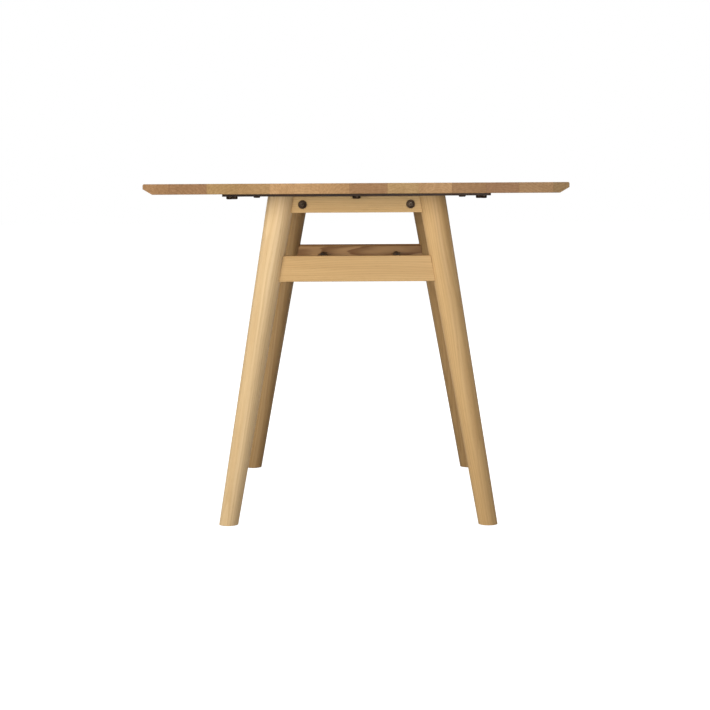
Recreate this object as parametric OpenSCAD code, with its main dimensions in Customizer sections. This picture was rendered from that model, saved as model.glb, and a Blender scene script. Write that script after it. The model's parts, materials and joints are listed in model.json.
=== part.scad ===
// Drop leaf table: solid wood top with one hinged end leaf, on two splayed end frames.
// X is the width of the table, Y its length with the leaf at +Y, Z is up from the floor.

/* [Top] */
// Height of the top face above the floor
table_h = 720; // [680:5:760]
// Thickness of the wooden top and leaf
top_t = 21; // [20:1:30]
// Width of the top and leaf, along X
top_w = 846; // [700:2:1000]
// Length of the fixed top, along Y
top_l = 1000; // [880:5:1300]
// Length of the drop leaf, from its hinge edge to its free edge
leaf_l = 299; // [220:1:350]
// Open joint between the fixed top and the raised leaf
leaf_gap = 1; // [0.6:0.1:2]
// Width of the bevel under each long edge
bevel_w = 18.5; // [8:0.5:30]
// Height of the bevel under each long edge
bevel_h = 11; // [4:0.5:14]
// Radius of the rounded upper long edges
edge_r = 3; // [1:0.5:5]
// Eased arris on sawn wooden edges
arris = 1; // [0.5:0.25:2]

/* [End frames] */
// Distance between the middle planes of the two end frames
frame_span = 700; // [560:5:760]
// Distance from the middle of the table to a leg's axis, at the floor
foot_x = 275.5; // [220:0.5:330]
// Distance from the middle of the table to a leg's axis, at the leg's top
head_x = 156; // [130:1:200]
// Diameter of a leg at the floor
foot_d = 40; // [32:1:50]
// Diameter of a leg at its top
head_d = 56; // [44:1:62]
// Thickness of the end rails
rail_t = 25; // [18:1:32]
// Height of the upper end rails
upper_rail_h = 34; // [24:0.5:60]
// Height of the lower end rails
lower_rail_h = 53.5; // [35:0.5:80]
// Height of the lower end rails' lower edge above the floor
lower_rail_z = 517; // [380:1:540]
// Chamfer on the inner upper edge of the lower end rails
lower_chamfer = 5; // [1:0.5:8]
// Thickness of the rails' tenons
tenon_t = 12; // [8:1:16]
// Depth of a tenon in its leg
tenon_l = 22; // [12:1:26]
// Shoulder above and below a tenon
shoulder = 8; // [5:0.5:12]

/* [Lengthwise members] */
// Distance from the middle of the table to each long rail
long_rail_x = 112; // [80:1:118]
// Thickness of the long rails
long_rail_t = 25; // [18:1:30]
// Distance from the middle of the table to each stretcher rod
rod_x = 92; // [60:1:120]
// Outer diameter of the stretcher rods
rod_d = 18; // [12:1:22]
// Wall of the tubular stretcher rods
rod_wall = 2; // [1:0.25:3]
// Depth of a stretcher rod in its rail
rod_socket = 12; // [8:1:15]

/* [Steel bars] */
// Length of the flat steel bars across the top
bar_l = 554; // [420:2:640]
// Width of the flat steel bars
bar_w = 64; // [60:1:80]
// Thickness of the flat steel bars
bar_t = 5; // [3:0.5:6]
// Corner radius of the flat steel bars
bar_corner_r = 5; // [2:0.5:10]
// Distance from the end of a bar to its outer screw
bar_end_margin = 14.5; // [12:0.5:30]
// Step between the two staggered screws at a bar's end, along X
bar_stagger = 7; // [6:1:20]
// Distance of the bar's screws from the bar's middle line
bar_screw_y = 21.5; // [20:0.5:26]

/* [Fasteners] */
// Head diameter of the bars' end screws
end_head_d = 13; // [9:0.5:14]
// Head height of the bars' end screws
end_head_h = 5.5; // [3:0.5:7]
// Head diameter of the bars' middle screws
mid_head_d = 17; // [12:0.5:17]
// Shank diameter of the bars' screws
bar_shank_d = 5; // [4:0.5:6]
// Depth of the wood screws in the top
screw_depth = 15; // [10:0.5:18]
// Head diameter of the connector bolts
connector_head_d = 18; // [14:0.5:20]
// Head thickness of the connector bolts
connector_head_h = 2.5; // [1.5:0.25:4]
// Shank diameter of the connector bolts
connector_d = 6; // [5:0.5:8]
// Depth of a connector bolt in its long rail
connector_depth = 46; // [40:1:60]
// Distance from the long rail's end to its barrel nut
nut_inset = 34; // [26:1:36]
// Diameter of the barrel nuts
nut_d = 10; // [9:0.5:12]
// Length of the barrel nuts
nut_l = 18; // [14:0.5:18]
// Distance of the frame bolts from the middle of the table
frame_bolt_x = 60; // [30:1:85]
// Shank diameter of the frame bolts
frame_bolt_d = 6; // [5:0.5:8]
// Depth of the frame bolts' heads in the upper end rail
frame_bolt_sink = 10; // [6:1:14]

/* [Leaf hinges] */
// Distance of the outer hinges from the middle of the table
hinge_x = 290; // [200:5:320]
// Width of a hinge along its pin
hinge_w = 72; // [50:1:90]
// Reach of a hinge plate from the pin
hinge_reach = 38; // [28:1:50]
// Thickness of the hinge plates
hinge_t = 2.5; // [2:0.25:3]
// Diameter of the hinge knuckles
knuckle_d = 8; // [7:0.5:9]
// Diameter of the hinge pins
pin_d = 4; // [3:0.25:5]
// Depth of the pin's axis below the top's underside
pin_drop = 1.5; // [1:0.25:2]
// Play between neighbouring knuckles, along the pin
knuckle_play = 0.4; // [0.3:0.1:0.8]
// Depth of the hinge screws in the wood
hinge_screw_depth = 14; // [8:0.5:16]
// Shank diameter of the hinge screws
hinge_screw_d = 4; // [3:0.25:4.5]

/* [Foot glides] */
// Diameter of the foot glides
glide_d = 26; // [18:1:32]
// Thickness of the foot glides
glide_t = 1.5; // [1:0.25:3]
// Length of a foot glide's stem
glide_stem = 14; // [8:1:20]
// Diameter of a foot glide's stem
glide_stem_d = 5; // [4:0.5:6]

/* [Hidden] */
$fn = 64;

oak = [0.80, 0.65, 0.44];
steel = [0.10, 0.09, 0.09];
zinc = [0.55, 0.54, 0.52];
nylon = [0.12, 0.11, 0.10];

// Clearances
seat = 0.1;        // round a screw or bolt in its hole
joint_play = 0.15; // round a tenon in its mortise
pin_play = 0.05;   // radial, round a hinge pin
swing_play = 0.5;  // round a turning knuckle
over = 20;         // length of tools past what they cut
tiny = 0.01;

// Levels
under_z = table_h - top_t;          // underside of the top
frame_top = under_z - bar_t;        // top of legs, upper rails and long rails
upper_rail_z = frame_top - upper_rail_h;
rod_z = lower_rail_z + lower_rail_h / 2;
bolt_z = upper_rail_z + upper_rail_h / 2;

// Lengthwise places. The frame's own middle lies ahead of the origin by half the leaf.
frame_y = -(leaf_l + leaf_gap) / 2;
pin_y = top_l / 2 + leaf_gap / 2;   // from the frame's middle
pin_z = under_z - pin_drop;
rail_inner = frame_span / 2 - rail_t / 2;

// Legs
leg_run = frame_top;
splay = atan((foot_x - head_x) / leg_run);
leg_len = leg_run / cos(splay);
leg_taper = (head_d - foot_d) / 2 / leg_len;
function leg_x(z) = foot_x - (foot_x - head_x) * z / leg_run;
function leg_r(z) = foot_d / 2 + (head_d - foot_d) / 2 * z / leg_run;

// Screw places on a steel bar, and the first knuckle's width on a hinge
bar_end_x = bar_l / 2 - bar_end_margin;
knuckle_w = hinge_w / 3;
hinge_screw_y = hinge_reach * 0.62;
hinge_screw_x = hinge_w / 2 - 13;
hinge_places = [-hinge_x, 0, hinge_x];

// ---- Placing -------------------------------------------------------------------------

// Moves the frame's own middle to its place along the table.
module on_table() { translate([0, frame_y, 0]) children(); }

// side is -1 for the left or front and 1 for the right or rear.
module at_frame(side) {
    on_table() translate([0, side * frame_span / 2, 0]) mirror([0, side > 0 ? 1 : 0, 0]) children();
}
module on_side(side) { mirror([side < 0 ? 1 : 0, 0, 0]) children(); }
module both_sides() { for (side = [-1, 1]) on_side(side) children(); }
module both_frames() { for (side = [-1, 1]) at_frame(side) children(); }

// ---- Fastener shapes, head down and shank up the Z axis -------------------------------

module pan_screw(head_w, head_h, shank_w, length) {
    rim = head_h * 0.35;
    difference() {
        union() {
            translate([0, 0, -head_h]) rotate_extrude()
                polygon([[0, 0], [head_w / 2 - rim, 0], [head_w / 2 - rim * 0.3, rim * 0.4],
                         [head_w / 2, rim], [head_w / 2, head_h], [0, head_h]]);
            cylinder(h = length, d = shank_w);
        }
        translate([0, 0, -head_h - tiny]) cylinder(h = head_h * 0.6, d = shank_w, $fn = 6);
    }
}

module flat_screw(shank_w, length) {
    head = shank_w * 0.9;
    difference() {
        union() {
            cylinder(h = head / 2, d1 = shank_w + head, d2 = shank_w);
            cylinder(h = length, d = shank_w);
        }
        translate([0, 0, -tiny]) cylinder(h = head * 0.4, d = shank_w * 0.7, $fn = 6);
    }
}

// ---- Wood ----------------------------------------------------------------------------

// Cross-section of the top, in X and Z, with rounded upper and bevelled lower long edges.
module top_section() {
    half = top_w / 2;
    arc = [for (a = [0 : 15 : 90]) [half - edge_r + edge_r * cos(a), top_t - edge_r + edge_r * sin(a)]];
    right = concat([[half - bevel_w, 0], [half, bevel_h]], arc);
    left = [for (i = [len(right) - 1 : -1 : 0]) [-right[i][0], right[i][1]]];
    polygon(concat(right, left));
}

// A board of that section from y0 to y1, with its sawn ends eased.
module board(y0, y1) {
    end_section = [[y0 + arris, 0], [y1 - arris, 0], [y1, arris], [y1, top_t - arris],
                   [y1 - arris, top_t], [y0 + arris, top_t], [y0, top_t - arris], [y0, arris]];
    translate([0, 0, under_z]) intersection() {
        translate([0, y1, 0]) rotate([90, 0, 0]) linear_extrude(y1 - y0) top_section();
        rotate([90, 0, 90]) translate([0, 0, -top_w]) linear_extrude(2 * top_w) polygon(end_section);
    }
}

module hinge_relief() {
    relief_w = hinge_w + 2 * swing_play;
    for (x = hinge_places) translate([x - relief_w / 2, pin_y, pin_z]) rotate([0, 90, 0])
        cylinder(h = relief_w, d = knuckle_d + 2 * swing_play);
}

module hinge_screw_holes(side) {
    for (x = hinge_places, dx = [-1, 1])
        translate([x + dx * hinge_screw_x, pin_y + side * hinge_screw_y, under_z - tiny])
            cylinder(h = hinge_screw_depth + tiny, d = hinge_screw_d + 2 * seat);
}

module table_top() {
    color(oak) on_table() difference() {
        board(-top_l / 2, top_l / 2);
        hinge_relief();
        hinge_screw_holes(-1);
        for (side = [-1, 1]) translate([0, side * frame_span / 2, 0]) mirror([0, side > 0 ? 1 : 0, 0]) {
            bar_screw_places() translate([0, 0, -tiny])
                cylinder(h = screw_depth + bar_t, d = bar_shank_d + 2 * seat);
            frame_bolt_places() cylinder(h = under_z + screw_depth - frame_bolt_z(), d = frame_bolt_d + 2 * seat);
        }
    }
}

module drop_leaf() {
    color(oak) on_table() difference() {
        board(top_l / 2 + leaf_gap, top_l / 2 + leaf_gap + leaf_l);
        hinge_relief();
        hinge_screw_holes(1);
    }
}

// The tapered leg on the right, along its own slanted axis, made larger by grow.
module leg_cone(grow = 0) {
    translate([foot_x, 0, 0]) rotate([0, -splay, 0]) translate([0, 0, -over])
        cylinder(h = leg_len + 2 * over, r1 = foot_d / 2 - over * leg_taper + grow,
                 r2 = head_d / 2 + over * leg_taper + grow);
}

module leg() {
    color(oak) difference() {
        intersection() {
            leg_cone();
            translate([0, -head_d, glide_t]) cube([2 * foot_x, 2 * head_d, frame_top - glide_t]);
        }
        tenon(upper_rail_z, upper_rail_h, joint_play);
        tenon(lower_rail_z, lower_rail_h, joint_play);
        translate([foot_x, 0, glide_t - tiny]) cylinder(h = glide_stem + seat, d = glide_stem_d + 2 * seat);
    }
}

// Tongue at the right end of a rail, grown by play on every face.
module tenon(rail_z, rail_h, play = 0) {
    mid = rail_z + rail_h / 2;
    tip = leg_x(mid) - leg_r(mid) + tenon_l;
    translate([0, -tenon_t / 2 - play, rail_z + shoulder - play])
        cube([tip + play, tenon_t + 2 * play, rail_h - 2 * shoulder + 2 * play]);
}

// A rail between two legs, scribed to them. Its inner side faces +Y.
module end_rail(rail_z, rail_h, chamfer) {
    t = rail_t / 2;
    section = [[-t + arris, 0], [t - arris, 0], [t, arris], [t, rail_h - chamfer], [t - chamfer, rail_h],
               [-t + arris, rail_h], [-t, rail_h - arris], [-t, arris]];
    reach = leg_x(rail_z);
    difference() {
        translate([-reach, 0, rail_z]) rotate([90, 0, 90]) linear_extrude(2 * reach) polygon(section);
        both_sides() leg_cone(seat);
    }
    both_sides() tenon(rail_z, rail_h);
}

module upper_rail() {
    color(oak) difference() {
        end_rail(upper_rail_z, upper_rail_h, arris);
        both_sides() translate([long_rail_x, rail_t, bolt_z]) rotate([90, 0, 0])
            cylinder(h = 2 * rail_t, d = connector_d + 2 * seat);
        frame_bolt_places() {
            cylinder(h = upper_rail_h, d = frame_bolt_d + 2 * seat);
            translate([0, 0, -frame_bolt_sink - tiny])
                cylinder(h = frame_bolt_sink + tiny, d = end_head_d + 10 * seat);
        }
    }
}

module lower_rail() {
    color(oak) difference() {
        end_rail(lower_rail_z, lower_rail_h, lower_chamfer);
        both_sides() translate([rod_x, rail_t / 2 - rod_socket - seat, rod_z]) rotate([-90, 0, 0])
            cylinder(h = rail_t, d = rod_d + 2 * seat);
    }
}

module long_rail() {
    color(oak) on_table() difference() {
        translate([long_rail_x - long_rail_t / 2, -rail_inner, upper_rail_z])
            cube([long_rail_t, 2 * rail_inner, upper_rail_h]);
        for (end = [-1, 1]) {
            translate([long_rail_x, end * rail_inner, bolt_z]) rotate([end * 90, 0, 0])
                translate([0, 0, -tiny])
                    cylinder(h = connector_depth + seat, d = connector_d + 2 * seat);
            translate([long_rail_x - long_rail_t / 2 - tiny, end * (rail_inner - nut_inset), bolt_z])
                rotate([0, 90, 0]) cylinder(h = nut_l + seat, d = nut_d + 2 * seat);
        }
    }
}

// ---- Steel ---------------------------------------------------------------------------

module stretcher_rod() {
    length = 2 * (rail_inner + rod_socket);
    color(steel) on_table() translate([rod_x, length / 2, rod_z]) rotate([90, 0, 0]) difference() {
        cylinder(h = length, d = rod_d);
        translate([0, 0, -over]) cylinder(h = length + 2 * over, d = rod_d - 2 * rod_wall);
    }
}

// Screws through a bar into the top: a staggered pair at each end.
module bar_end_places() {
    both_sides() for (s = [-1, 1])
        translate([bar_end_x - (1 + s) / 2 * bar_stagger, s * bar_screw_y, frame_top]) children();
}

// And one each side of the rail at the middle.
module bar_middle_places() {
    for (s = [-1, 1]) translate([0, s * bar_screw_y, frame_top]) children();
}
module bar_screw_places() {
    bar_end_places() children();
    bar_middle_places() children();
}

function frame_bolt_z() = upper_rail_z + frame_bolt_sink;
module frame_bolt_places() { both_sides() translate([frame_bolt_x, 0, frame_bolt_z()]) children(); }

module steel_bar() {
    r = bar_corner_r;
    color(steel) difference() {
        translate([0, 0, frame_top]) linear_extrude(bar_t) union() {
            square([bar_l - 2 * r, bar_w], center = true);
            square([bar_l, bar_w - 2 * r], center = true);
            for (sx = [-1, 1], sy = [-1, 1]) translate([sx * (bar_l / 2 - r), sy * (bar_w / 2 - r)]) circle(r);
        }
        bar_screw_places() translate([0, 0, -tiny]) cylinder(h = bar_t + 2 * tiny, d = bar_shank_d + 2 * seat);
        frame_bolt_places() cylinder(h = upper_rail_h + bar_t, d = frame_bolt_d + 2 * seat);
    }
}

module bar_end_screws() {
    color(zinc) both_frames() bar_end_places()
        pan_screw(end_head_d, end_head_h, bar_shank_d, bar_t + screw_depth - 1);
}

module bar_middle_screws() {
    color(steel) both_frames() bar_middle_places()
        pan_screw(mid_head_d, end_head_h, bar_shank_d, bar_t + screw_depth - 1);
}

module frame_bolts() {
    color(zinc) both_frames() frame_bolt_places()
        pan_screw(end_head_d, end_head_h, frame_bolt_d, under_z + screw_depth - 1 - frame_bolt_z());
}

// Bolts through the upper end rails into barrel nuts in the long rails.
module connector_bolts() {
    length = rail_t + connector_depth;
    color(steel) both_frames() both_sides() translate([long_rail_x, -rail_t / 2, bolt_z]) rotate([-90, 0, 0])
        difference() {
            union() {
                translate([0, 0, -connector_head_h]) cylinder(h = connector_head_h, d1 = connector_head_d - 2,
                                                              d2 = connector_head_d);
                cylinder(h = length, d = connector_d);
            }
            translate([0, 0, -connector_head_h - tiny]) cylinder(h = connector_head_h, d = connector_d, $fn = 6);
        }
}

module barrel_nuts() {
    color(zinc) both_frames() both_sides()
        translate([long_rail_x - long_rail_t / 2, rail_t / 2 + nut_inset, bolt_z]) rotate([0, 90, 0])
            difference() {
                cylinder(h = nut_l, d = nut_d);
                translate([0, nut_d, long_rail_t / 2]) rotate([90, 0, 0])
                    cylinder(h = 2 * nut_d, d = connector_d + 2 * seat);
            }
}

// ---- Leaf hinges, with the pin along X -------------------------------------------------

// side is -1 for the plate under the top and 1 for the flap under the leaf. keeps lists its knuckles.
module hinge_half(side, keeps, others) {
    difference() {
        union() {
            translate([-hinge_w / 2, side > 0 ? 0 : -hinge_reach, pin_drop - hinge_t])
                cube([hinge_w, hinge_reach, hinge_t]);
            for (k = keeps) knuckle(k, knuckle_d / 2, -knuckle_play / 2);
        }
        for (k = others) knuckle(k, knuckle_d / 2 + swing_play, knuckle_play / 2);
        translate([-hinge_w, 0, 0]) rotate([0, 90, 0]) cylinder(h = 2 * hinge_w, d = pin_d + 2 * pin_play);
        for (dx = [-1, 1]) translate([dx * hinge_screw_x, side * hinge_screw_y, pin_drop - hinge_t - tiny]) {
            cylinder(h = 2 * hinge_t, d = hinge_screw_d + 2 * seat);
            cylinder(h = hinge_screw_d * 0.45 + 2 * seat, d1 = hinge_screw_d * 1.9 + 4 * seat,
                     d2 = hinge_screw_d);
        }
    }
}

// The k-th third of the hinge's width, as a round bar on the pin's axis. grow is at each end.
module knuckle(k, r, grow) {
    translate([-hinge_w / 2 + k * knuckle_w - grow, 0, 0]) rotate([0, 90, 0])
        cylinder(h = knuckle_w + 2 * grow, r = r);
}

module at_hinge(i) { on_table() translate([hinge_places[i], pin_y, pin_z]) children(); }

module hinge_plate(i) { color(steel) at_hinge(i) hinge_half(-1, [0, 2], [1]); }

module hinge_flap(i) { color(steel) at_hinge(i) hinge_half(1, [1], [0, 2]); }

module hinge_pins() {
    color(zinc) for (i = [0 : 2]) at_hinge(i) translate([-hinge_w / 2, 0, 0]) rotate([0, 90, 0])
        cylinder(h = hinge_w, d = pin_d);
}

module hinge_screws(side) {
    color(zinc) for (i = [0 : 2], dx = [-1, 1]) at_hinge(i)
        translate([dx * hinge_screw_x, side * hinge_screw_y, pin_drop - hinge_t])
            flat_screw(hinge_screw_d, hinge_t + hinge_screw_depth - 1);
}

// ---- Feet ----------------------------------------------------------------------------

module foot_glides() {
    color(nylon) both_frames() both_sides() translate([foot_x, 0, 0]) {
        cylinder(h = glide_t, d = glide_d);
        cylinder(h = glide_t + glide_stem, d = glide_stem_d);
    }
}

table_top();
drop_leaf();
at_frame(-1) on_side(-1) leg();  // leg_front_left
at_frame(-1) on_side(1) leg();  // leg_front_right
at_frame(1) on_side(-1) leg();  // leg_rear_left
at_frame(1) on_side(1) leg();  // leg_rear_right
at_frame(-1) upper_rail();  // upper_rail_front
at_frame(1) upper_rail();  // upper_rail_rear
at_frame(-1) lower_rail();  // lower_rail_front
at_frame(1) lower_rail();  // lower_rail_rear
on_side(-1) long_rail();  // long_rail_left
on_side(1) long_rail();  // long_rail_right
on_side(-1) stretcher_rod();  // stretcher_rod_left
on_side(1) stretcher_rod();  // stretcher_rod_right
at_frame(-1) steel_bar();  // steel_bar_front
at_frame(1) steel_bar();  // steel_bar_rear
bar_end_screws();
bar_middle_screws();
frame_bolts();
connector_bolts();
barrel_nuts();
hinge_plate(0);  // hinge_plate_left
hinge_plate(1);  // hinge_plate_middle
hinge_plate(2);  // hinge_plate_right
hinge_flap(0);  // hinge_flap_left
hinge_flap(1);  // hinge_flap_middle
hinge_flap(2);  // hinge_flap_right
hinge_pins();
hinge_screws(-1);  // plate_screws
hinge_screws(1);  // flap_screws
foot_glides();
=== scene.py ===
# %% [markdown]
# # A drop leaf table
# This lesson dresses a wooden table whose shapes come from a imported CAD model. The table has a staved top
# with one hinged end leaf, two end frames with splayed round legs, flat steel bars and dark fittings.
# First the imported model is loaded.

# %% Load the imported model
import json
import math
import bmesh
import bpy
from mathutils import Matrix, Vector

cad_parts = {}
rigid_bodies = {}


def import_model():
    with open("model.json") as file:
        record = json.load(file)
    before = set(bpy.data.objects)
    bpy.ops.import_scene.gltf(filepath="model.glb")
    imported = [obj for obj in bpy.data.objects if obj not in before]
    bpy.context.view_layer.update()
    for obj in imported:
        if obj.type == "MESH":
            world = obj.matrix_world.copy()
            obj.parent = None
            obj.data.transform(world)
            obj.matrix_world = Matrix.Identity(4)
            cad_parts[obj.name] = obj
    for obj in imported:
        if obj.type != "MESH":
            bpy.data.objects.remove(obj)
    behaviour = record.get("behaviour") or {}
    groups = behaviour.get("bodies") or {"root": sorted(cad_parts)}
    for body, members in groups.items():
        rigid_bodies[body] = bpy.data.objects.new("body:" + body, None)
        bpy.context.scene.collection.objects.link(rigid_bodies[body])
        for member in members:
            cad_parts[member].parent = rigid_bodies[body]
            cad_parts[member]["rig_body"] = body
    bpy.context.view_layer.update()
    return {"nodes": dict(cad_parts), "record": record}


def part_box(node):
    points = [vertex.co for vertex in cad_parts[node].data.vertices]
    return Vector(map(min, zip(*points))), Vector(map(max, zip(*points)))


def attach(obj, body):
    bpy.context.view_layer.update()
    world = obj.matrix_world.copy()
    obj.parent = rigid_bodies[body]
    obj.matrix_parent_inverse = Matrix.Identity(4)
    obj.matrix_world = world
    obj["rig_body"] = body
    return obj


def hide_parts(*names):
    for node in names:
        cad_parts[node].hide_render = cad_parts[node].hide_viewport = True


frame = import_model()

bpy.ops.object.select_all(action="DESELECT")

# %% [markdown]
# ## Camera
# The camera stands in front of the near end, just below the top's surface, and looks slightly down and to
# the left. A long lens keeps the perspective calm. It is placed first, so that every later choice can be
# judged.

# %% Place the camera
CAMERA_AT = Vector((0.0345, -3.778, 0.7045))
CAMERA_DOWN = math.radians(5.965)
CAMERA_LEFT = math.radians(0.69)
CAMERA_ROLL = math.radians(-0.31)
LENS = 79.6  # the focal length, in millimetres
SENSOR_W = 36.0  # the width of the sensor behind the lens, in millimetres

camera_data = bpy.data.cameras.new("camera")
camera_data.lens = LENS
camera_data.sensor_width = SENSOR_W
camera = bpy.data.objects.new("camera", camera_data)
bpy.context.scene.collection.objects.link(camera)
turn = Matrix.Rotation(CAMERA_LEFT, 4, "Z") @ Matrix.Rotation(math.pi / 2 - CAMERA_DOWN, 4, "X")
camera.matrix_world = Matrix.Translation(CAMERA_AT) @ turn @ Matrix.Rotation(CAMERA_ROLL, 4, "Z")
bpy.context.scene.camera = camera
print("camera at", tuple(round(v, 3) for v in CAMERA_AT))

# %% [markdown]
# ## A small helper for node trees
# Every finish below is a tree of shader nodes. Wiring them by hand takes a lot of lines, so a small class
# adds a node, sets its settings and inputs, and links whatever input is given as another node's output. A
# pattern that several finishes share becomes a node group, with named inputs and outputs.

# %% Node helper
class Net:
    """Adds nodes to a tree. A value that is a socket is linked, and any other value is set."""

    def __init__(self, tree):
        self.tree = tree

    def add(self, kind, inputs=(), **settings):
        node = self.tree.nodes.new("ShaderNode" + kind)
        for name, value in settings.items():
            setattr(node, name, value)
        for name, value in dict(inputs).items():
            self.feed(node.inputs[name], value)
        return node

    def feed(self, socket, value):
        if isinstance(value, bpy.types.NodeSocket):
            self.tree.links.new(value, socket)
        else:
            socket.default_value = value

    def math(self, operation, a, b=0.0, c=0.0, clamp=False):
        node = self.add("Math", {0: a, 1: b, 2: c}, operation=operation, use_clamp=clamp)
        return node.outputs[0]

    def smooth(self, value, low, high, to_low=0.0, to_high=1.0):
        """Maps low..high to to_low..to_high with a soft start and end."""
        inputs = {"Value": value, "From Min": low, "From Max": high, "To Min": to_low, "To Max": to_high}
        return self.add("MapRange", inputs, interpolation_type="SMOOTHSTEP").outputs["Result"]

    def mix(self, share, a, b, blend="MIX"):
        node = self.add("Mix", data_type="RGBA", blend_type=blend)
        self.feed(node.inputs["Factor"], share)
        self.feed([i for i in node.inputs if i.name == "A" and i.type == "RGBA"][0], a)
        self.feed([i for i in node.inputs if i.name == "B" and i.type == "RGBA"][0], b)
        return [o for o in node.outputs if o.type == "RGBA"][0]

    def noise(self, vector, scale, detail=2.0, rough=0.5):
        inputs = {"Vector": vector, "Scale": scale, "Detail": detail, "Roughness": rough}
        return self.add("TexNoise", inputs).outputs["Fac"]

    def long_noise(self, vector, scales, detail=2.0, rough=0.5):
        """A noise with its own scale along each axis."""
        return self.noise(self.stretch(vector, *scales), 1.0, detail, rough)

    def stretch(self, vector, x, y, z):
        """Scales a vector, so that a round speck becomes a long one."""
        return self.add("VectorMath", {0: vector, 1: (x, y, z)}, operation="MULTIPLY").outputs[0]


print("node helper ready")

# %% Group helper
def new_group(name, inputs, outputs):
    """A shader node group. inputs maps a name to (socket type, default), outputs maps one to a type."""
    group = bpy.data.node_groups.new(name, "ShaderNodeTree")
    for label, (kind, default) in inputs.items():
        socket = group.interface.new_socket(label, in_out="INPUT", socket_type="NodeSocket" + kind)
        if default is not None:
            socket.default_value = default
    for label, kind in outputs.items():
        group.interface.new_socket(label, in_out="OUTPUT", socket_type="NodeSocket" + kind)
    net = Net(group)
    start = group.nodes.new("NodeGroupInput")
    end = group.nodes.new("NodeGroupOutput")
    return group, net, start.outputs, end.inputs


def use_group(net, group, inputs):
    node = net.add("Group", node_tree=group)
    for name, value in inputs.items():
        net.feed(node.inputs[name], value)
    return node.outputs


print("group helper ready")

# %% [markdown]
# ## Wood grain
# Oak shows three things at once: growth rings a few millimetres apart, long fibres that make fine streaks,
# and short dark pores. A board is cut from a round trunk, so rings are drawn as circles round a distant
# core, bent by a slow noise. Where the board's face cuts them at a shallow angle they open into tall
# arches, and on a sawn end they show as arcs. The group reads coordinates whose Z runs along the grain, so
# one group serves every piece.

# %% Scales of the grain
# how many cells of each noise fit in a metre: twice across the grain, then along it
SLOW_SCALE = (9, 9, 1.1)
WAVER_SCALE = (60, 60, 5)
FIBRE_SCALE = (900, 900, 14)
STREAK_SCALE = (190, 190, 2.2)
PORE_SCALE = (1500, 1500, 60)
BROAD_SCALE = (14, 14, 1.6)
# how far the slow and the quick noise move a ring between their extremes, in metres
SLOW_BEND = 0.055
WAVER_BEND = 0.004
# the part of each year over which a ring darkens, and the part over which it ends
RING_RISE = (0.15, 0.86)
RING_FALL = (0.90, 1.0)
# a noise seldom leaves the middle of 0 to 1, so a wide, middling or narrow part of that is stretched
WIDE = (0.2, 0.8)
MIDDLE = (0.25, 0.75)
NARROW = (0.3, 0.7)
print("a fibre's cell is", round(1000 / FIBRE_SCALE[0], 1), "by", round(1000 / FIBRE_SCALE[2]), "mm")

# %% Rings and pores
PORE_SPECK = (0.62, 0.74)  # only the highest specks of the noise become pores
PORE_FADE = (0.15, 0.75, 0.35, 1.0)  # where a ring is below 0.15, a pore keeps 0.35 of its strength


def ring_lines(net, place, given):
    """0 in early wood, rising to 1 where a year's growth ends."""
    slow = net.long_noise(place, SLOW_SCALE)
    waver = net.long_noise(place, WAVER_SCALE)
    split = net.add("SeparateXYZ", {0: place})
    along_x = net.math("SUBTRACT", split.outputs["X"], given["Core X"])
    along_y = net.math("SUBTRACT", split.outputs["Y"], given["Core Y"])
    squared = net.math("MULTIPLY_ADD", along_x, along_x, net.math("MULTIPLY", along_y, along_y))
    radius = net.math("SQRT", squared)
    bent = net.math("MULTIPLY_ADD", net.math("SUBTRACT", slow, 0.5), SLOW_BEND, radius)
    bent = net.math("MULTIPLY_ADD", net.math("SUBTRACT", waver, 0.5), WAVER_BEND, bent)
    phase = net.math("FRACT", net.math("DIVIDE", bent, given["Ring pitch"]))
    rising = net.smooth(phase, *RING_RISE)
    falling = net.smooth(phase, *RING_FALL, 1.0, 0.0)
    return net.math("MULTIPLY", rising, falling)


def pore_spots(net, place, ring):
    """1 in a pore. Pores are fainter in early wood."""
    specks = net.long_noise(place, PORE_SCALE, detail=1.0)
    return net.math("MULTIPLY", net.smooth(specks, *PORE_SPECK), net.smooth(ring, *PORE_FADE))


print("a ring wanders within", round(1000 * (SLOW_BEND + WAVER_BEND)), "mm")

# %% Wood grain group
# how much each pattern changes the brightness: the broad one multiplies it, and the others add to it
STREAK_SHADE = (-0.14, 0.13)
BROAD_SHADE = (0.93, 1.07)
FIBRE_SHADE = (-0.13, 0.13)
PORE_SHADE = -0.42
# the blue falls faster than the red, so darker streaks are also browner
RED_POWER = 0.8
BLUE_POWER = 1.35
FIBRE_ROUGH = (0.40, 0.52)
PORE_ROUGH = 0.22
RING_ROUGH = 0.05
# heights, as shares of the bump's distance
PORE_HEIGHT = -1.0
FIBRE_HEIGHT = 0.35
RING_HEIGHT = 0.2


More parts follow.
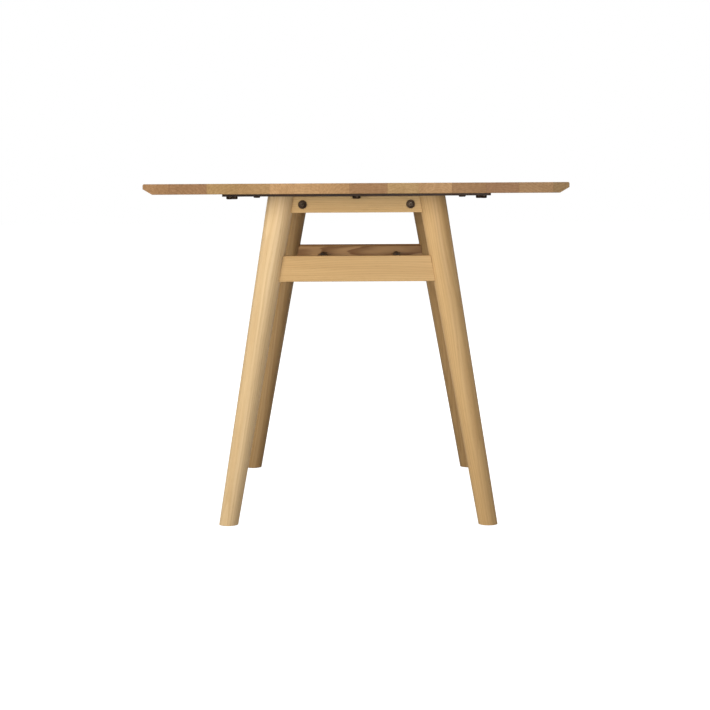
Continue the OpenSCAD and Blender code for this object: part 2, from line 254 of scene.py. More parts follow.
def make_grain_group():
    group, net, given, gives = new_group(
        "wood_grain",
        {"Vector": ("Vector", None), "Early wood": ("Color", (0.5, 0.35, 0.2, 1)),
         "Late wood": ("Color", (0.3, 0.2, 0.1, 1)), "Core X": ("Float", 0.02),
         "Core Y": ("Float", -0.08), "Ring pitch": ("Float", 0.0045), "Figure": ("Float", 0.6),
         "Fibre": ("Float", 0.5), "Pores": ("Float", 0.5), "Streaks": ("Float", 1.0)},
        {"Color": "Color", "Roughness": "Float", "Height": "Float"})
    place = given["Vector"]
    ring = ring_lines(net, place, given)
    pore = pore_spots(net, place, ring)
    fibre = net.long_noise(place, FIBRE_SCALE, detail=3.0, rough=0.6)
    streak = net.long_noise(place, STREAK_SCALE, detail=3.0, rough=0.55)
    broad = net.long_noise(place, BROAD_SCALE, detail=1.0)
    share = net.math("MULTIPLY", ring, given["Figure"])
    tone = net.mix(share, given["Early wood"], given["Late wood"])
    streaks = net.smooth(streak, *MIDDLE, *STREAK_SHADE)
    lift = net.math("MULTIPLY_ADD", streaks, given["Streaks"], 1.0)
    lift = net.math("MULTIPLY", lift, net.smooth(broad, *MIDDLE, *BROAD_SHADE))
    fine = net.smooth(fibre, *WIDE, *FIBRE_SHADE)
    lift = net.math("MULTIPLY_ADD", fine, given["Fibre"], lift)
    lift = net.math("MULTIPLY_ADD", net.math("MULTIPLY", pore, given["Pores"]), PORE_SHADE, lift)
    red = net.math("POWER", lift, RED_POWER)
    blue = net.math("POWER", lift, BLUE_POWER)
    warm = net.add("CombineColor", {0: red, 1: lift, 2: blue})
    net.feed(gives["Color"], net.mix(1.0, tone, warm.outputs[0], "MULTIPLY"))
    rough = net.math("MULTIPLY_ADD", pore, PORE_ROUGH, net.smooth(fibre, *WIDE, *FIBRE_ROUGH))
    net.feed(gives["Roughness"], net.math("MULTIPLY_ADD", ring, RING_ROUGH, rough))
    height = net.math("MULTIPLY_ADD", pore, PORE_HEIGHT, net.math("MULTIPLY", fibre, FIBRE_HEIGHT))
    net.feed(gives["Height"], net.math("MULTIPLY_ADD", ring, RING_HEIGHT, height))
    return group


GRAIN = make_grain_group()
print("made", GRAIN.name, "with", len(GRAIN.nodes), "nodes")

# %% [markdown]
# ## Worn edges
# Hands and cloths wear sharp edges paler. The Bevel node looks a short way round each point and returns a
# softened normal. Where that differs from the true normal there is an edge. A noise breaks the line up, so
# that the wear isn't even. Paint and plating use the same group, with the metal showing at their edges.

# %% Edge wear group
EDGE_AGREE = (0.995, 0.86)  # how well the two normals agree on a flat face, and at a worn edge
PATCH_SCALE = 70.0  # patches of wear in a metre
PATCH_WEAR = (0.32, 0.6, 0.35, 1.0)  # where the patches' noise is below 0.32, 0.35 of the wear is left


def make_edge_group():
    group, net, given, gives = new_group(
        "edge_wear", {"Radius": ("Float", 0.0015), "Amount": ("Float", 1.0)},
        {"Mask": "Float", "Normal": "Vector"})
    soft = net.add("Bevel", {"Radius": given["Radius"]}, samples=4)
    true_normal = net.add("NewGeometry").outputs["Normal"]
    dot = net.add("VectorMath", {0: soft.outputs[0], 1: true_normal}, operation="DOT_PRODUCT")
    edge = net.smooth(dot.outputs["Value"], *EDGE_AGREE)
    place = net.add("TexCoord").outputs["Object"]
    broken = net.smooth(net.noise(place, PATCH_SCALE, detail=3.0), *PATCH_WEAR)
    mask = net.math("MULTIPLY", net.math("MULTIPLY", edge, broken), given["Amount"], clamp=True)
    net.feed(gives["Mask"], mask)
    net.feed(gives["Normal"], soft.outputs[0])
    return group


EDGES = make_edge_group()
print("made", EDGES.name, "with", len(EDGES.nodes), "nodes")

# %% [markdown]
# ## Oak for frame parts
# Legs, rails and long rails are turned or sawn from one board each, so each gets its own cut of the trunk:
# its own core position and its own place along the grain. A Mapping node lays the grain along the part.
# Leaning legs have leaning grain.

# %% Colours and materials
def linear(red, green, blue):
    """A colour given as on a screen, 0 to 255, as the linear numbers that shaders use."""
    def one(value):
        share = value / 255
        return share / 12.92 if share <= 0.04045 else ((share + 0.055) / 1.055) ** 2.4
    return (one(red), one(green), one(blue), 1.0)


def start_material(name):
    material = bpy.data.materials.new(name)
    material.use_nodes = True
    material.node_tree.nodes.clear()
    net = Net(material.node_tree)
    shader = net.add("BsdfPrincipled")
    out = net.add("OutputMaterial")
    net.tree.links.new(shader.outputs[0], out.inputs["Surface"])
    return material, net, shader


def dress(node, material):
    """Puts one material on a CAD node or a piece."""
    target = frame["nodes"][node] if isinstance(node, str) else node
    target.data.materials.clear()
    target.data.materials.append(material)


print("a screen's 128 is", round(linear(128, 128, 128)[0], 3), "in a shader")

# %% Finish shared by all wood
WOOD_EDGE = 0.0013  # how far the wear reaches from an edge, in metres
WOOD_WEAR = 0.5
WOOD_BUMP = 0.00012  # the depth of the grain, in metres
WOOD_SHEEN = 0.35


def finish_wood(net, shader, grain, wear_colour):
    """Feeds a grain group's outputs to the shader, with paler worn edges."""
    wear = use_group(net, EDGES, {"Radius": WOOD_EDGE, "Amount": WOOD_WEAR})
    net.feed(shader.inputs["Base Color"], net.mix(wear["Mask"], grain["Color"], wear_colour))
    net.feed(shader.inputs["Roughness"], grain["Roughness"])
    bumped = net.add("Bump", {"Height": grain["Height"], "Distance": WOOD_BUMP, "Strength": 0.6})
    net.feed(bumped.inputs["Normal"], wear["Normal"])
    net.feed(shader.inputs["Normal"], bumped.outputs[0])
    shader.inputs["Specular IOR Level"].default_value = WOOD_SHEEN


print("the wood's grain is", round(WOOD_BUMP * 1000, 2), "mm deep")

# %% Oak
LEG_TONES = (linear(224, 193, 146), linear(204, 168, 118))
WARM_SHADED_TONES = (linear(208, 171, 118), linear(187, 146, 94))  # the right front leg's browner board, also darker as painted shade away from the key light
# the rear legs' tones are darkened as painted shade under the top
REAR_SHADED_TONES = (linear(177, 142, 95), linear(154, 117, 73))
RAIL_TONES = (linear(208, 170, 115), linear(188, 147, 93))
# the upper rails' tones are paler, as painted light where the top shades them
UPPER_LIT_TONES = (linear(222, 184, 126), linear(203, 162, 105))
REAR_RAIL_SHADED_TONES = (linear(183, 141, 95), linear(118, 78, 44))  # the rear lower rail's redder, flat-sawn board, also darkened as painted shade under the top
OAK_WORN = linear(226, 194, 148)
OAK_PITCH = 0.0042  # a year's growth, in metres


def oak(name, tilt, shift, core, early, late, figure=0.4, arch=1.0):
    """Oak whose grain runs along the part. tilt turns the part's length to Z, and shift picks a place in
    the trunk. A larger arch gives shorter, more frequent arches along the board."""
    material, net, shader = start_material(name)
    place = net.add("TexCoord").outputs["Object"]
    turned = net.add("Mapping", {"Vector": place, "Rotation": tilt, "Location": shift}).outputs[0]
    turned = net.stretch(turned, 1.0, 1.0, arch)
    grain = use_group(net, GRAIN, {"Vector": turned, "Early wood": early, "Late wood": late,
                                   "Core X": core[0], "Core Y": core[1], "Figure": figure,
                                   "Ring pitch": OAK_PITCH, "Fibre": 0.4, "Pores": 0.35,
                                   "Streaks": 0.45})
    finish_wood(net, shader, grain, OAK_WORN)
    return material


print("oak grows", round(OAK_PITCH * 1000, 1), "mm a year")

# %% Dress the legs
LEG_STEP = (0.31, 0.17, 0.9)  # from one leg's place in the trunk to the next one's, in metres
LEG_CORE = (0.02, -0.09)


def lean_of(node):
    """How far a leg leans in the XZ plane, from its box."""
    low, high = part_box(node)
    thick = high.y - low.y
    run = (high.x - low.x - thick) / (high.z - low.z)
    return math.atan(run) * (1 if (low.x + high.x) < 0 else -1)


leg_nodes = sorted(n for n in frame["nodes"] if n.startswith("leg_"))
for count, name in enumerate(leg_nodes):
    tilt = (0.0, -lean_of(name), 0.0)
    shift = tuple(step * count for step in LEG_STEP)
    core = (LEG_CORE[0] + shift[0], LEG_CORE[1] + shift[1])
    # the right front leg's tones are browner as its own board and darker as painted shade
    tones = LEG_TONES if name == "leg_front_left" else WARM_SHADED_TONES
    # the rear legs take darker tones, which are painted shade under the top
    if "rear" in name:
        tones = REAR_SHADED_TONES
    dress(name, oak("oak_" + name, tilt, shift, core, *tones))
    print(name, "leans", round(math.degrees(lean_of(name)), 2), "degrees")

# %% Dress the rails
ALONG_X = (0.0, math.radians(90), 0.0)
ALONG_Y = (math.radians(90), 0.0, 0.0)
CROSS_STEP = 0.7  # from one rail's place along the trunk to the next one's, in metres
LONG_STEP = 1.3
LONG_START = 0.4
LONG_CORE = (0.0, -0.62)
FAR_CORE = (1.0, 0.06)  # a core far below the board and just beside it gives straight lines
NEAR_CORE = (0.008, 0.07)  # a board sawn level with the core has rings that open into broad arches
REAR_RAIL_FIGURE = 0.75
REAR_RAIL_ARCH = 1.8

cross_nodes = ["upper_rail_front", "lower_rail_front", "upper_rail_rear", "lower_rail_rear"]
for count, name in enumerate(cross_nodes):
    low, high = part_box(name)
    core = (low.z - FAR_CORE[0], low.y - FAR_CORE[1])
    # the upper rails' paler tones are painted light
    looks = UPPER_LIT_TONES if "upper" in name else RAIL_TONES
    # the rear lower rail's darker tones are painted shade under the top, and its strong figure is grain
    if name == "lower_rail_rear":
        core = (high.z - NEAR_CORE[0], low.y - NEAR_CORE[1])
        looks = (*REAR_RAIL_SHADED_TONES, REAR_RAIL_FIGURE, REAR_RAIL_ARCH)
    dress(name, oak("oak_" + name, ALONG_X, (0.0, 0.0, CROSS_STEP * count), core, *looks))

long_nodes = ["long_rail_left", "long_rail_right"]
for count, name in enumerate(long_nodes):
    shift = (0.0, 0.0, LONG_STEP * count + LONG_START)
    dress(name, oak("oak_" + name, ALONG_Y, shift, LONG_CORE, *RAIL_TONES))
print("dressed", len(leg_nodes) + len(cross_nodes) + len(long_nodes), "frame parts in oak")

# %% [markdown]
# ## The staved top
# The top is glued up from narrow staves that run the length of the table, so every stave has its own tone
# and its own rings. The stave's number comes from X. A colour ramp with hard steps gives the tones from
# left to right, and a white noise made from the number moves the core of the rings. A thin dark line marks
# each glue joint. The leaf is sawn from the same board, so it has the same material.

# %% Staves
STAVE_W = 0.066  # a usual stave, in metres
# glue joints from left to right, in metres; staves differ a little in width
STAVE_JOINTS = [-0.423, -0.371, -0.296, -0.2335, -0.171, -0.122, -0.073, -0.0125,
                0.063, 0.1253, 0.1908, 0.259, 0.3236, 0.391, 0.457]
STAVE_TONES = [
    (158, 119, 80), (155, 116, 79), (171, 136, 88), (173, 136, 89), (190, 148, 100),
    (190, 148, 100), (180, 138, 90), (158, 117, 75), (176, 140, 90), (179, 138, 91),
    (154, 114, 71), (152, 111, 72), (162, 124, 81), (146, 114, 70)]
STAVE_WORN = linear(212, 176, 130)
STAVE_STEP = 2.37  # from one stave's place along the trunk to the next one's, in metres
STAVE_PITCH = 0.0048
CORE_ASIDE = (-0.05, 0.05)  # between these a stave's core lies beside its middle
CORE_BELOW = (-0.11, -0.03)
LATE_TINT = (0.70, 0.64, 0.56, 1.0)
JOINT_TINT = (0.55, 0.48, 0.42, 1.0)
JOINT_EDGE = (0.4935, 0.4985)  # shares of a stave's width, from its middle, where the dark line starts
JOINT_DEPTH = -1.2
JOINT_SHARE = 0.5  # how much of the dark tint a joint takes
NUDGE = 0.0001  # keeps the top's left edge off a whole number
END_FACING = (0.8, 0.95)  # a sawn end's normal points along the table by this much
STAVE_FIGURE = (0.55, 0.28)  # rings on the long faces, and more faintly on sawn ends


def stave_number(net, x):
    """Each stave adds 0 to 1 from its left joint to its right one, so the whole part is its number."""
    across = NUDGE
    for left, right in zip(STAVE_JOINTS, STAVE_JOINTS[1:]):
        share = net.math("DIVIDE", net.math("SUBTRACT", x, left), right - left, clamp=True)
        across = net.math("ADD", across, share)
    return net.math("FLOOR", across), net.math("FRACT", across)


def stave_tone(net, number):
    """A colour ramp with one hard step for each stave."""
    ramp = net.add("ValToRGB")
    ramp.color_ramp.interpolation = "CONSTANT"
    stops = ramp.color_ramp.elements
    while len(stops) < len(STAVE_TONES):
        stops.new(1.0)  # moved to its place below
    for i, tone in enumerate(STAVE_TONES):
        stops[i].position = i / len(STAVE_TONES)
        stops[i].color = linear(*tone)
    net.feed(ramp.inputs[0], net.math("DIVIDE", net.math("ADD", number, 0.5), len(STAVE_TONES)))
    return ramp.outputs["Color"]


print("top has", len(STAVE_TONES), "stave tones")

# %% Staved top material
def staved_top():
    material, net, shader = start_material("staved_oak_top")
    split = net.add("SeparateXYZ", {0: net.add("TexCoord").outputs["Object"]})
    number, inside = stave_number(net, split.outputs["X"])
    early = stave_tone(net, number)
    late = net.mix(1.0, early, LATE_TINT, "MULTIPLY")
    chance = net.add("TexWhiteNoise", {"W": number}, noise_dimensions="1D")
    drawn = net.add("SeparateColor", {0: chance.outputs["Color"]})
    core_x = net.smooth(drawn.outputs[0], 0.0, 1.0, *CORE_ASIDE)
    core_y = net.smooth(drawn.outputs[1], 0.0, 1.0, *CORE_BELOW)
    from_middle = net.math("SUBTRACT", inside, 0.5)
    stave_x = net.math("MULTIPLY", from_middle, STAVE_W)
    level = net.math("SUBTRACT", split.outputs["Z"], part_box("table_top")[0].z)
    along = net.math("MULTIPLY_ADD", number, STAVE_STEP, split.outputs["Y"])
    local = net.add("CombineXYZ", {"X": stave_x, "Y": level, "Z": along}).outputs[0]
    facing = net.add("SeparateXYZ", {0: net.add("TexCoord").outputs["Normal"]}).outputs["Y"]
    end = net.smooth(net.math("ABSOLUTE", facing), *END_FACING)
    figure = net.smooth(end, 0.0, 1.0, *STAVE_FIGURE)
    grain = use_group(net, GRAIN, {"Vector": local, "Early wood": early, "Late wood": late,
                                   "Core X": core_x, "Core Y": core_y, "Figure": figure,
                                   "Ring pitch": STAVE_PITCH, "Fibre": 0.6, "Pores": 0.5})
    joint = net.smooth(net.math("ABSOLUTE", from_middle), *JOINT_EDGE)
    dark = net.mix(1.0, grain["Color"], JOINT_TINT, "MULTIPLY")
    colour = net.mix(net.math("MULTIPLY", joint, JOINT_SHARE), grain["Color"], dark)
    height = net.math("MULTIPLY_ADD", joint, JOINT_DEPTH, grain["Height"])
    joined = {"Color": colour, "Roughness": grain["Roughness"], "Height": height}
    finish_wood(net, shader, joined, STAVE_WORN)
    return material


STAVED = staved_top()
dress("table_top", STAVED)
dress("drop_leaf", STAVED)
print("made", STAVED.name, "with", len(STAVED.node_tree.nodes), "nodes")

# %% [markdown]
# ## Metal and nylon
# The bars, rods and hinges are steel with a dark baked coating: nearly black, slightly brown, with the
# fine pebbled skin of powder paint. Screws and bolts are plated, so they are metallic, with faint turning
# marks and bright worn rims. The glides under the feet are dull moulded nylon. Each is a shader of its
# own, because paint, plating and plastic differ in how they reflect and not only in colour.

# %% Coated steel
COAT_TONES = (linear(50, 34, 23), linear(70, 49, 33))
COAT_WORN = linear(118, 108, 98)
COAT_SKIN = 1400.0  # the paint's pebbles in a metre
COAT_CLOUD = 16.0
COAT_ROUGH = (0.38, 0.55)
COAT_BARED = 0.9  # how metallic a worn edge is


def add_bump(net, shader, height, depth, strength):
    """Gives the shader a bump of that depth, in metres."""
    bumped = net.add("Bump", {"Height": height, "Distance": depth, "Strength": strength})
    net.feed(shader.inputs["Normal"], bumped.outputs[0])


def coated_steel():
    material, net, shader = start_material("coated_steel")
    place = net.add("TexCoord").outputs["Object"]
    skin = net.noise(place, COAT_SKIN)
    cloud = net.noise(place, COAT_CLOUD, detail=3.0)
    wear = use_group(net, EDGES, {"Radius": 0.0008, "Amount": 0.55})
    paint = net.mix(net.smooth(cloud, *NARROW), *COAT_TONES)
    net.feed(shader.inputs["Base Color"], net.mix(wear["Mask"], paint, COAT_WORN))
    net.feed(shader.inputs["Roughness"], net.smooth(cloud, *WIDE, *COAT_ROUGH))
    net.feed(shader.inputs["Metallic"], net.math("MULTIPLY", wear["Mask"], COAT_BARED))
    add_bump(net, shader, skin, depth=0.00008, strength=0.7)
    return material


COATED = coated_steel()
coated_nodes = [n for n in frame["nodes"]
                if n.startswith(("steel_bar", "stretcher_rod", "hinge_plate", "hinge_flap"))]
for name in coated_nodes:
    dress(name, COATED)
print("coated", len(coated_nodes), "parts")

# %% Plated steel
PLATE_WORN = linear(178, 166, 150)
PLATE_TURNED = (300, 300, 2600)  # turning marks lie across an upright screw, close together along it
PLATE_CLOUD = 240.0
PLATE_ROUGH = (0.28, 0.5)


def plated_steel(name, dark, light):
    material, net, shader = start_material(name)
    place = net.add("TexCoord").outputs["Object"]
    turned = net.long_noise(place, PLATE_TURNED)
    cloud = net.noise(place, PLATE_CLOUD, detail=3.0)
    wear = use_group(net, EDGES, {"Radius": 0.0006, "Amount": 0.8})
    plate = net.mix(net.smooth(cloud, *NARROW), dark, light)
    net.feed(shader.inputs["Base Color"], net.mix(wear["Mask"], plate, PLATE_WORN))
    net.feed(shader.inputs["Roughness"], net.smooth(turned, *WIDE, *PLATE_ROUGH))
    shader.inputs["Metallic"].default_value = 0.85
    add_bump(net, shader, turned, depth=0.00003, strength=0.6)
    return material


DARK_PLATED = plated_steel("dark_plated_steel", linear(48, 36, 26), linear(74, 58, 44))
GREY_PLATED = plated_steel("grey_plated_steel", linear(92, 86, 80), linear(140, 134, 126))
dark_nodes = ("connector_bolts", "bar_end_screws", "bar_middle_screws")
grey_nodes = ("barrel_nuts", "frame_bolts", "hinge_pins", "plate_screws", "flap_screws")
for name in dark_nodes:
    dress(name, DARK_PLATED)
for name in grey_nodes:
    dress(name, GREY_PLATED)
print("plated", len(dark_nodes), "parts dark and", len(grey_nodes), "grey")

# %% Nylon
NYLON_TONES = (linear(46, 42, 39), linear(82, 76, 70))
NYLON_SPECK = 900.0
SCUFF_SCALE = (60, 240, 60)
SCUFF_PALE = (0.45, 0.75)  # only the stronger scuffs turn pale
SCUFF_ROUGH = (0.3, 0.8, 0.5, 0.75)  # the stronger a scuff, the duller


def nylon():
    material, net, shader = start_material("moulded_nylon")
    place = net.add("TexCoord").outputs["Object"]
    speck = net.noise(place, NYLON_SPECK, detail=3.0)
    scuff = net.long_noise(place, SCUFF_SCALE, detail=3.0)
    net.feed(shader.inputs["Base Color"], net.mix(net.smooth(scuff, *SCUFF_PALE), *NYLON_TONES))
    net.feed(shader.inputs["Roughness"], net.smooth(scuff, *SCUFF_ROUGH))
    add_bump(net, shader, speck, depth=0.00006, strength=0.5)
    return material


dress("foot_glides", nylon())
print("dressed the glides in nylon")

# %% [markdown]
# ## Turned fasteners
# The CAD model holds each screw as a plain shape of the right size, and here each gets a proper head. The
# connector bolt has a wide flat head with a rounded rim, a shallow dish and a six-sided socket. The bars'
# screws and the frame bolts have a low dome with a cross-shaped recess, and the hinge screws are
# countersunk, with a flat face. A cylinder is the start: its end face is inset and pushed, its rim is
# bevelled, and the recess is cut with a second shape. One is modelled, and the others are copies.

# %% Helpers for selecting and cutting
HEAD_SIDES = 48
SHANK_SIDES = 24
FACING = 0.9  # a face counts as facing up or down when its normal's Z is past this


def select_only(piece):
    bpy.ops.object.select_all(action="DESELECT")
    piece.select_set(True)
    bpy.context.view_layer.objects.active = piece


def pick(piece, wanted, kind="faces"):
    """In edit mode, selects only the faces or edges for which wanted(element) is true."""
    shape = bmesh.from_edit_mesh(piece.data)
    for group in (shape.verts, shape.edges, shape.faces):
        for element in group:
            element.select = False
    for element in getattr(shape, kind):
        if wanted(element):
            element.select = True
    shape.select_flush(True)
    bmesh.update_edit_mesh(piece.data)


def cylinder(name, radius, low, high, sides):
    """A closed round bar on the Z axis from low to high, kept at the origin."""
    bpy.ops.object.select_all(action="DESELECT")
    bpy.ops.mesh.primitive_cylinder_add(vertices=sides, radius=radius, depth=high - low,
                                        location=(0, 0, (low + high) / 2))
    piece = bpy.context.object
    piece.name = name
    bpy.ops.object.transform_apply(location=True, rotation=True, scale=True)
    return piece


def cut(piece, tool):
    """Takes one closed shape away from another, and drops the tool."""
    select_only(piece)
    saw = piece.modifiers.new("cut", "BOOLEAN")
    saw.operation = "DIFFERENCE"
    saw.solver = "EXACT"
    saw.object = tool
    bpy.ops.object.modifier_apply(modifier=saw.name)
    bpy.data.objects.remove(tool)


print("heads have", HEAD_SIDES, "sides and shanks", SHANK_SIDES)

# %% Domed heads
# shares of the head's radius, from its rim inwards
FACE_INSET = 0.28
DISH_INSET = 0.12
RIM_FROM = 0.98  # an edge past this share of the radius is on the rim
# shares of the head's height
RIM_BELOW = 0.9
ROUNDING = 0.42
ROUND_STEPS = 4


def domed_head(name, radius, height, dish):
    """A head from Z = -height to 0, facing down, with a rounded rim. dish is how deep its face is."""
    head = cylinder(name, radius, -height, 0.0, HEAD_SIDES)
    select_only(head)
    bpy.ops.object.mode_set(mode="EDIT")
    bpy.ops.mesh.select_mode(type="FACE")
    pick(head, lambda f: f.normal.z < -FACING)
    bpy.ops.mesh.inset(thickness=radius * FACE_INSET)
    bpy.ops.mesh.inset(thickness=radius * DISH_INSET)
    bpy.ops.transform.translate(value=(0, 0, dish))
    bpy.ops.mesh.select_mode(type="EDGE")
    rim = radius * RIM_FROM
    face = -height * RIM_BELOW
    pick(head, lambda e: all(v.co.z < face and v.co.xy.length > rim for v in e.verts), "edges")
    bpy.ops.mesh.bevel(offset=height * ROUNDING, segments=ROUND_STEPS, profile=0.5)
    bpy.ops.object.mode_set(mode="OBJECT")
    return head


print("a rim is rounded over", ROUNDING, "of the head's height")

# %% Cross recesses
# shares of the head's radius
BLADE_LONG = 0.95
BLADE_WIDE = 0.2


def cross_recess(head, radius, face, depth):
    """Cuts a cross into the face at that height, depth metres deep."""
    for turned in (0, 90):
        bpy.ops.object.select_all(action="DESELECT")
        bpy.ops.mesh.primitive_cube_add(size=1.0, location=(0, 0, face))
        blade = bpy.context.object
        blade.scale = (radius * BLADE_LONG, radius * BLADE_WIDE, depth * 2)
        blade.rotation_euler.z = math.radians(turned)
        bpy.ops.object.transform_apply(location=True, rotation=True, scale=True)
        cut(head, blade)


print("a cross is", BLADE_LONG, "of the radius long and", BLADE_WIDE, "wide")

# %% Shanks
SHANK_START = -0.0002  # just inside the head, in metres
TIP_SHARE = 0.45  # how much of the shank's radius the tip loses
SMOOTH_BELOW = math.radians(32)


def add_shank(head, shank_r, length, start=SHANK_START):
    """A shank with a pointed tip, joined to the head. It starts inside the head, clear of the recess."""
    shank = cylinder("shank", shank_r, start, length, SHANK_SIDES)
    select_only(shank)
    bpy.ops.object.mode_set(mode="EDIT")
    bpy.ops.mesh.select_mode(type="FACE")
    pick(shank, lambda f: f.normal.z > FACING)
    bpy.ops.mesh.bevel(offset=shank_r * TIP_SHARE, segments=1)
    bpy.ops.object.mode_set(mode="OBJECT")
    head.select_set(True)
    bpy.context.view_layer.objects.active = head
    bpy.ops.object.join()
    bpy.ops.object.shade_smooth_by_angle(angle=SMOOTH_BELOW)
    return head


print("faces blend where they meet at under", round(math.degrees(SMOOTH_BELOW)), "degrees")

# %% Whole fasteners
# shares of the head's height
BOLT_DISH = 0.16
SOCKET_PAST = 1.5
SOCKET_FLOOR = 0.2
PAN_DISH = 0.05
PAN_RECESS = 0.55
# shares of the head's radius
FLAT_RECESS = 0.3
FLAT_START = 0.35


def socket_bolt(name, radius, height, shank_r, length, socket_r):
    head = domed_head(name, radius, height, height * BOLT_DISH)
    cut(head, cylinder("socket", socket_r, -height * SOCKET_PAST, -height * SOCKET_FLOOR, sides=6))
    return add_shank(head, shank_r, length)


def cross_screw(name, radius, height, shank_r, length):
    head = domed_head(name, radius, height, height * PAN_DISH)
    cross_recess(head, radius, -height, height * PAN_RECESS)
    return add_shank(head, shank_r, length)


def flat_screw(name, radius, shank_r, length):
    """A countersunk screw whose flat face is at Z = 0."""
    head = cylinder(name, radius, 0.0, radius - shank_r, HEAD_SIDES)
    select_only(head)
    bpy.ops.object.mode_set(mode="EDIT")
    bpy.ops.mesh.select_mode(type="FACE")
    pick(head, lambda f: f.normal.z > FACING)
    inner = shank_r / radius
    bpy.ops.transform.resize(value=(inner, inner, 1.0))
    bpy.ops.object.mode_set(mode="OBJECT")
    cross_recess(head, radius, 0.0, radius * FLAT_RECESS)
    return add_shank(head, shank_r, length, start=radius * FLAT_START)


print("a countersunk shank starts", round(FLAT_START - FLAT_RECESS, 2), "of the radius past its recess")

# %% Copies in place of a CAD node
def frame_slot(node):
    return next(s["material_slot"] for s in frame["record"]["subparts"] if s["node"] == node)


def spread(master, name, places, node, material):
    """Copies the master to each place, joins the copies into one piece, and lets it stand for a node."""
    copies = []
    for place in places:
        copy = bpy.data.objects.new(name, master.data.copy())
        bpy.context.scene.collection.objects.link(copy)
        copy.data.transform(place)
        copies.append(copy)
    bpy.ops.object.select_all(action="DESELECT")
    for copy in copies:
        copy.select_set(True)
    bpy.context.view_layer.objects.active = copies[0]
    bpy.ops.object.join()
    piece = bpy.context.object
    piece.name = name
    bpy.data.objects.remove(master)
    dress(piece, material)
    body = frame["nodes"][node]["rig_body"]
    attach(piece, body)
    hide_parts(node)
    print(name, "has", len(places), "fasteners and", len(piece.data.polygons), "faces")


print("connector bolts use the slot", frame_slot("connector_bolts"))

# %% [markdown]
# ## Where the fasteners sit
# A CAD node of fasteners holds several separate solids. Walking from corner to corner over the edges
# splits them, and the box of each one gives its place and head size. So the new pieces land exactly where
# the CAD ones are. On a real table no two screws stop at the same angle, so each is turned its own way.

# %% Find each solid in a node
SPIN_X = 11.0  # how fast a recess turns from screw to screw, in radians a metre
SPIN_Y = 7.0


def solid_boxes(node):
    """The lowest and highest corner of each separate solid in a CAD node."""
    shape = bmesh.new()
    shape.from_mesh(frame["nodes"][node].data)
    bmesh.ops.remove_doubles(shape, verts=shape.verts, dist=1e-6)
    reached = set()
    boxes = []
    for start in shape.verts:
        if start in reached:
            continue
        reached.add(start)
        island = [start]
        for corner in island:
            for edge in corner.link_edges:
                other = edge.other_vert(corner)
                if other not in reached:
                    reached.add(other)
                    island.append(other)
        low = Vector([min(corner.co[i] for corner in island) for i in range(3)])
        high = Vector([max(corner.co[i] for corner in island) for i in range(3)])
        boxes.append((low, high))
    shape.free()
    print(node, "holds", len(boxes), "solids")
    return boxes


def upright(boxes, level):
    """A place for each box, with the head's bearing face at that level, each screw turned its own way."""
    places = []
    for low, high in boxes:
        middle = (low + high) / 2
        turned = Matrix.Rotation(SPIN_X * middle.x + SPIN_Y * middle.y, 4, "Z")
        places.append(Matrix.Translation((middle.x, middle.y, level)) @ turned)
    return places


def head_radius(boxes):
    low, high = boxes[0]
    return (high.x - low.x) / 2


print("recesses turn", SPIN_X, "and", SPIN_Y, "radians a metre")

# %% [markdown]
# ## Connector bolts
# Each upper rail is held to the long rails by two bolts whose wide heads show on its outer face. They lie
# flat, so the upright master is turned to face forwards or backwards before it is copied.

# %% Make the connector bolts
BOLT_SHANK_R = 0.003
BOLT_SOCKET_R = 0.0034
BOLT_SPIN = 9.0  # in radians a metre, as SPIN_X

bolts = solid_boxes("connector_bolts")
HEAD_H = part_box("upper_rail_front")[0].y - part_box("connector_bolts")[0].y
rail_low, rail_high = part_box("long_rail_left")
half_way = rail_low.lerp(rail_high, 0.5).y
bolt_places = []
for low, high in bolts:
    middle = (low + high) / 2
    front = middle.y < half_way
    face = low.y + HEAD_H if front else high.y - HEAD_H
    turn = Matrix.Rotation(math.radians(-90 if front else 90), 4, "X")
    spin = Matrix.Rotation(BOLT_SPIN * middle.x, 4, "Z")
    bolt_places.append(Matrix.Translation((middle.x, face, middle.z)) @ turn @ spin)
bolt_long = bolts[0][1].y - bolts[0][0].y - HEAD_H
bolt = socket_bolt("bolt", head_radius(bolts), HEAD_H, BOLT_SHANK_R, bolt_long, BOLT_SOCKET_R)
spread(bolt, "connector_bolts_fine", bolt_places, "connector_bolts", DARK_PLATED)

# %% [markdown]
# ## Screws from below
# The steel bars are screwed to the top from below, in staggered pairs near their ends and with one more in
# the middle. The frame bolts' heads sit up in wide holes in the upper rails. All have the same low dome,
# so one function makes them and only the sizes differ.

# %% Make the bar screws and the frame bolts
BAR_SHANK_R = 0.0025
FRAME_SHANK_R = 0.003

bar_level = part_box("steel_bar_front")[0].z
PAN_H = bar_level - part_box("bar_end_screws")[0].z
for node, shank_r, level in (("bar_end_screws", BAR_SHANK_R, bar_level),
                             ("bar_middle_screws", BAR_SHANK_R, bar_level),
                             ("frame_bolts", FRAME_SHANK_R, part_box("frame_bolts")[0].z + PAN_H)):
    boxes = solid_boxes(node)
    metal = GREY_PLATED if node == "frame_bolts" else DARK_PLATED
    master = cross_screw("screw", head_radius(boxes), PAN_H, shank_r, boxes[0][1].z - level)
    spread(master, node + "_fine", upright(boxes, level), node, metal)

# %% [markdown]
# ## Hinge screws
# The hinge plates lie against the underside of the wood, and their screws are countersunk, so that nothing
# stands below the plates. The head is a cone whose flat face ends level with the plate. The cone is a
# cylinder with its inner end drawn in to the width of the shank.

# %% Make the hinge screws
HINGE_SHANK_R = 0.002

for node in ("plate_screws", "flap_screws"):
    boxes = solid_boxes(node)
    low, high = boxes[0]
    master = flat_screw("screw", head_radius(boxes), HINGE_SHANK_R, high.z - low.z)
    spread(master, node + "_fine", upright(boxes, low.z), node, GREY_PLATED)

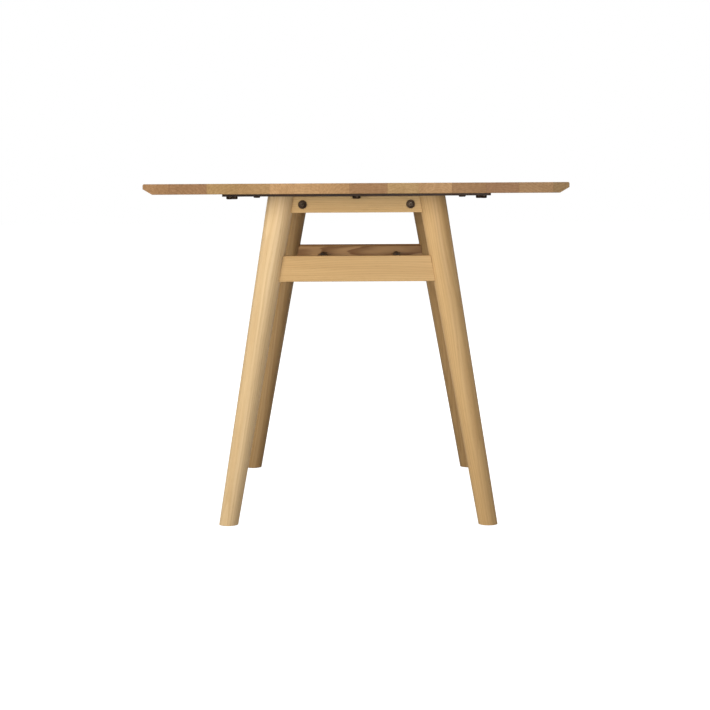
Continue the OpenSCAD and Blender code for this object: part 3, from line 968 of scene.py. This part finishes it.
# %% [markdown]
# ## Floor and light
# The table stands on a plain white floor in a white studio. The floor glows towards the camera only, so it
# looks as white as the background but throws no more light at the table than a pale grey floor does. The
# key light stands far to the left and little above the top, so the legs are brightest on their left. It is
# left out of reflections, because the top would mirror it as a white glare. A light in front opens the
# shade under the top, a wide one hangs overhead, and one stands behind. The world is white to the camera
# and dimmer as a light.

# %% Floor
FLOOR_W = 60.0
FLOOR_GREY = (0.55, 0.55, 0.545, 1.0)
WHITE = (1.0, 1.0, 1.0, 1.0)

bpy.ops.mesh.primitive_plane_add(size=FLOOR_W, location=(0.0, 0.0, 0.0))
floor = bpy.context.object
floor.name = "floor"
material, net, shader = start_material("white_floor")
shader.inputs["Base Color"].default_value = FLOOR_GREY
shader.inputs["Roughness"].default_value = 0.9
shader.inputs["Emission Color"].default_value = WHITE
net.feed(shader.inputs["Emission Strength"], net.add("LightPath").outputs["Is Camera Ray"])
floor.data.materials.append(material)
print("floor is", FLOOR_W, "m wide")

# %% Lights
def area_light(name, place, target, size, power):
    """A round soft light of that width, in metres, aimed at the target and unseen by the camera."""
    data = bpy.data.lights.new(name, "AREA")
    data.shape = "DISK"
    data.size = size
    data.energy = power
    lamp = bpy.data.objects.new(name, data)
    bpy.context.scene.collection.objects.link(lamp)
    lamp.location = place
    lamp.rotation_euler = (Vector(target) - Vector(place)).to_track_quat("-Z", "Y").to_euler()
    lamp.visible_camera = False
    return lamp


key = area_light("key", place=(-2.1, -2.1, 0.95), target=(0.0, -0.5, 0.45), size=1.0, power=44.0)
key.visible_glossy = False
area_light("front", place=(0.5, -2.8, 0.9), target=(0.0, -0.5, 0.5), size=1.4, power=22.0)
area_light("overhead", place=(0.2, 0.3, 3.2), target=(0.0, 0.0, 0.6), size=2.5, power=55.0)
area_light("back", place=(2.6, 3.6, 2.2), target=(0.0, 0.0, 0.4), size=2.2, power=40.0)
print("placed", len(bpy.data.lights), "lights")

# %% World
WORLD_LIGHT = 0.17  # the world's strength as a light
WORLD_SEEN = 1.0  # and as the camera sees it

world = bpy.data.worlds.new("studio")
bpy.context.scene.world = world
world.use_nodes = True
world.node_tree.nodes.clear()
net = Net(world.node_tree)
seen = net.add("LightPath").outputs["Is Camera Ray"]
strength = net.smooth(seen, 0.0, 1.0, WORLD_LIGHT, WORLD_SEEN)
sky = net.add("Background", {"Color": WHITE, "Strength": strength})
out = net.add("OutputWorld")
net.tree.links.new(sky.outputs[0], out.inputs["Surface"])
bpy.context.scene.view_settings.view_transform = "Standard"
print("world gives", WORLD_LIGHT, "as a light and", WORLD_SEEN, "to the camera")

# %% [markdown]
# ## The end
# A dressed model has to be as big as the part it dresses.

# %% Finish
print("done")
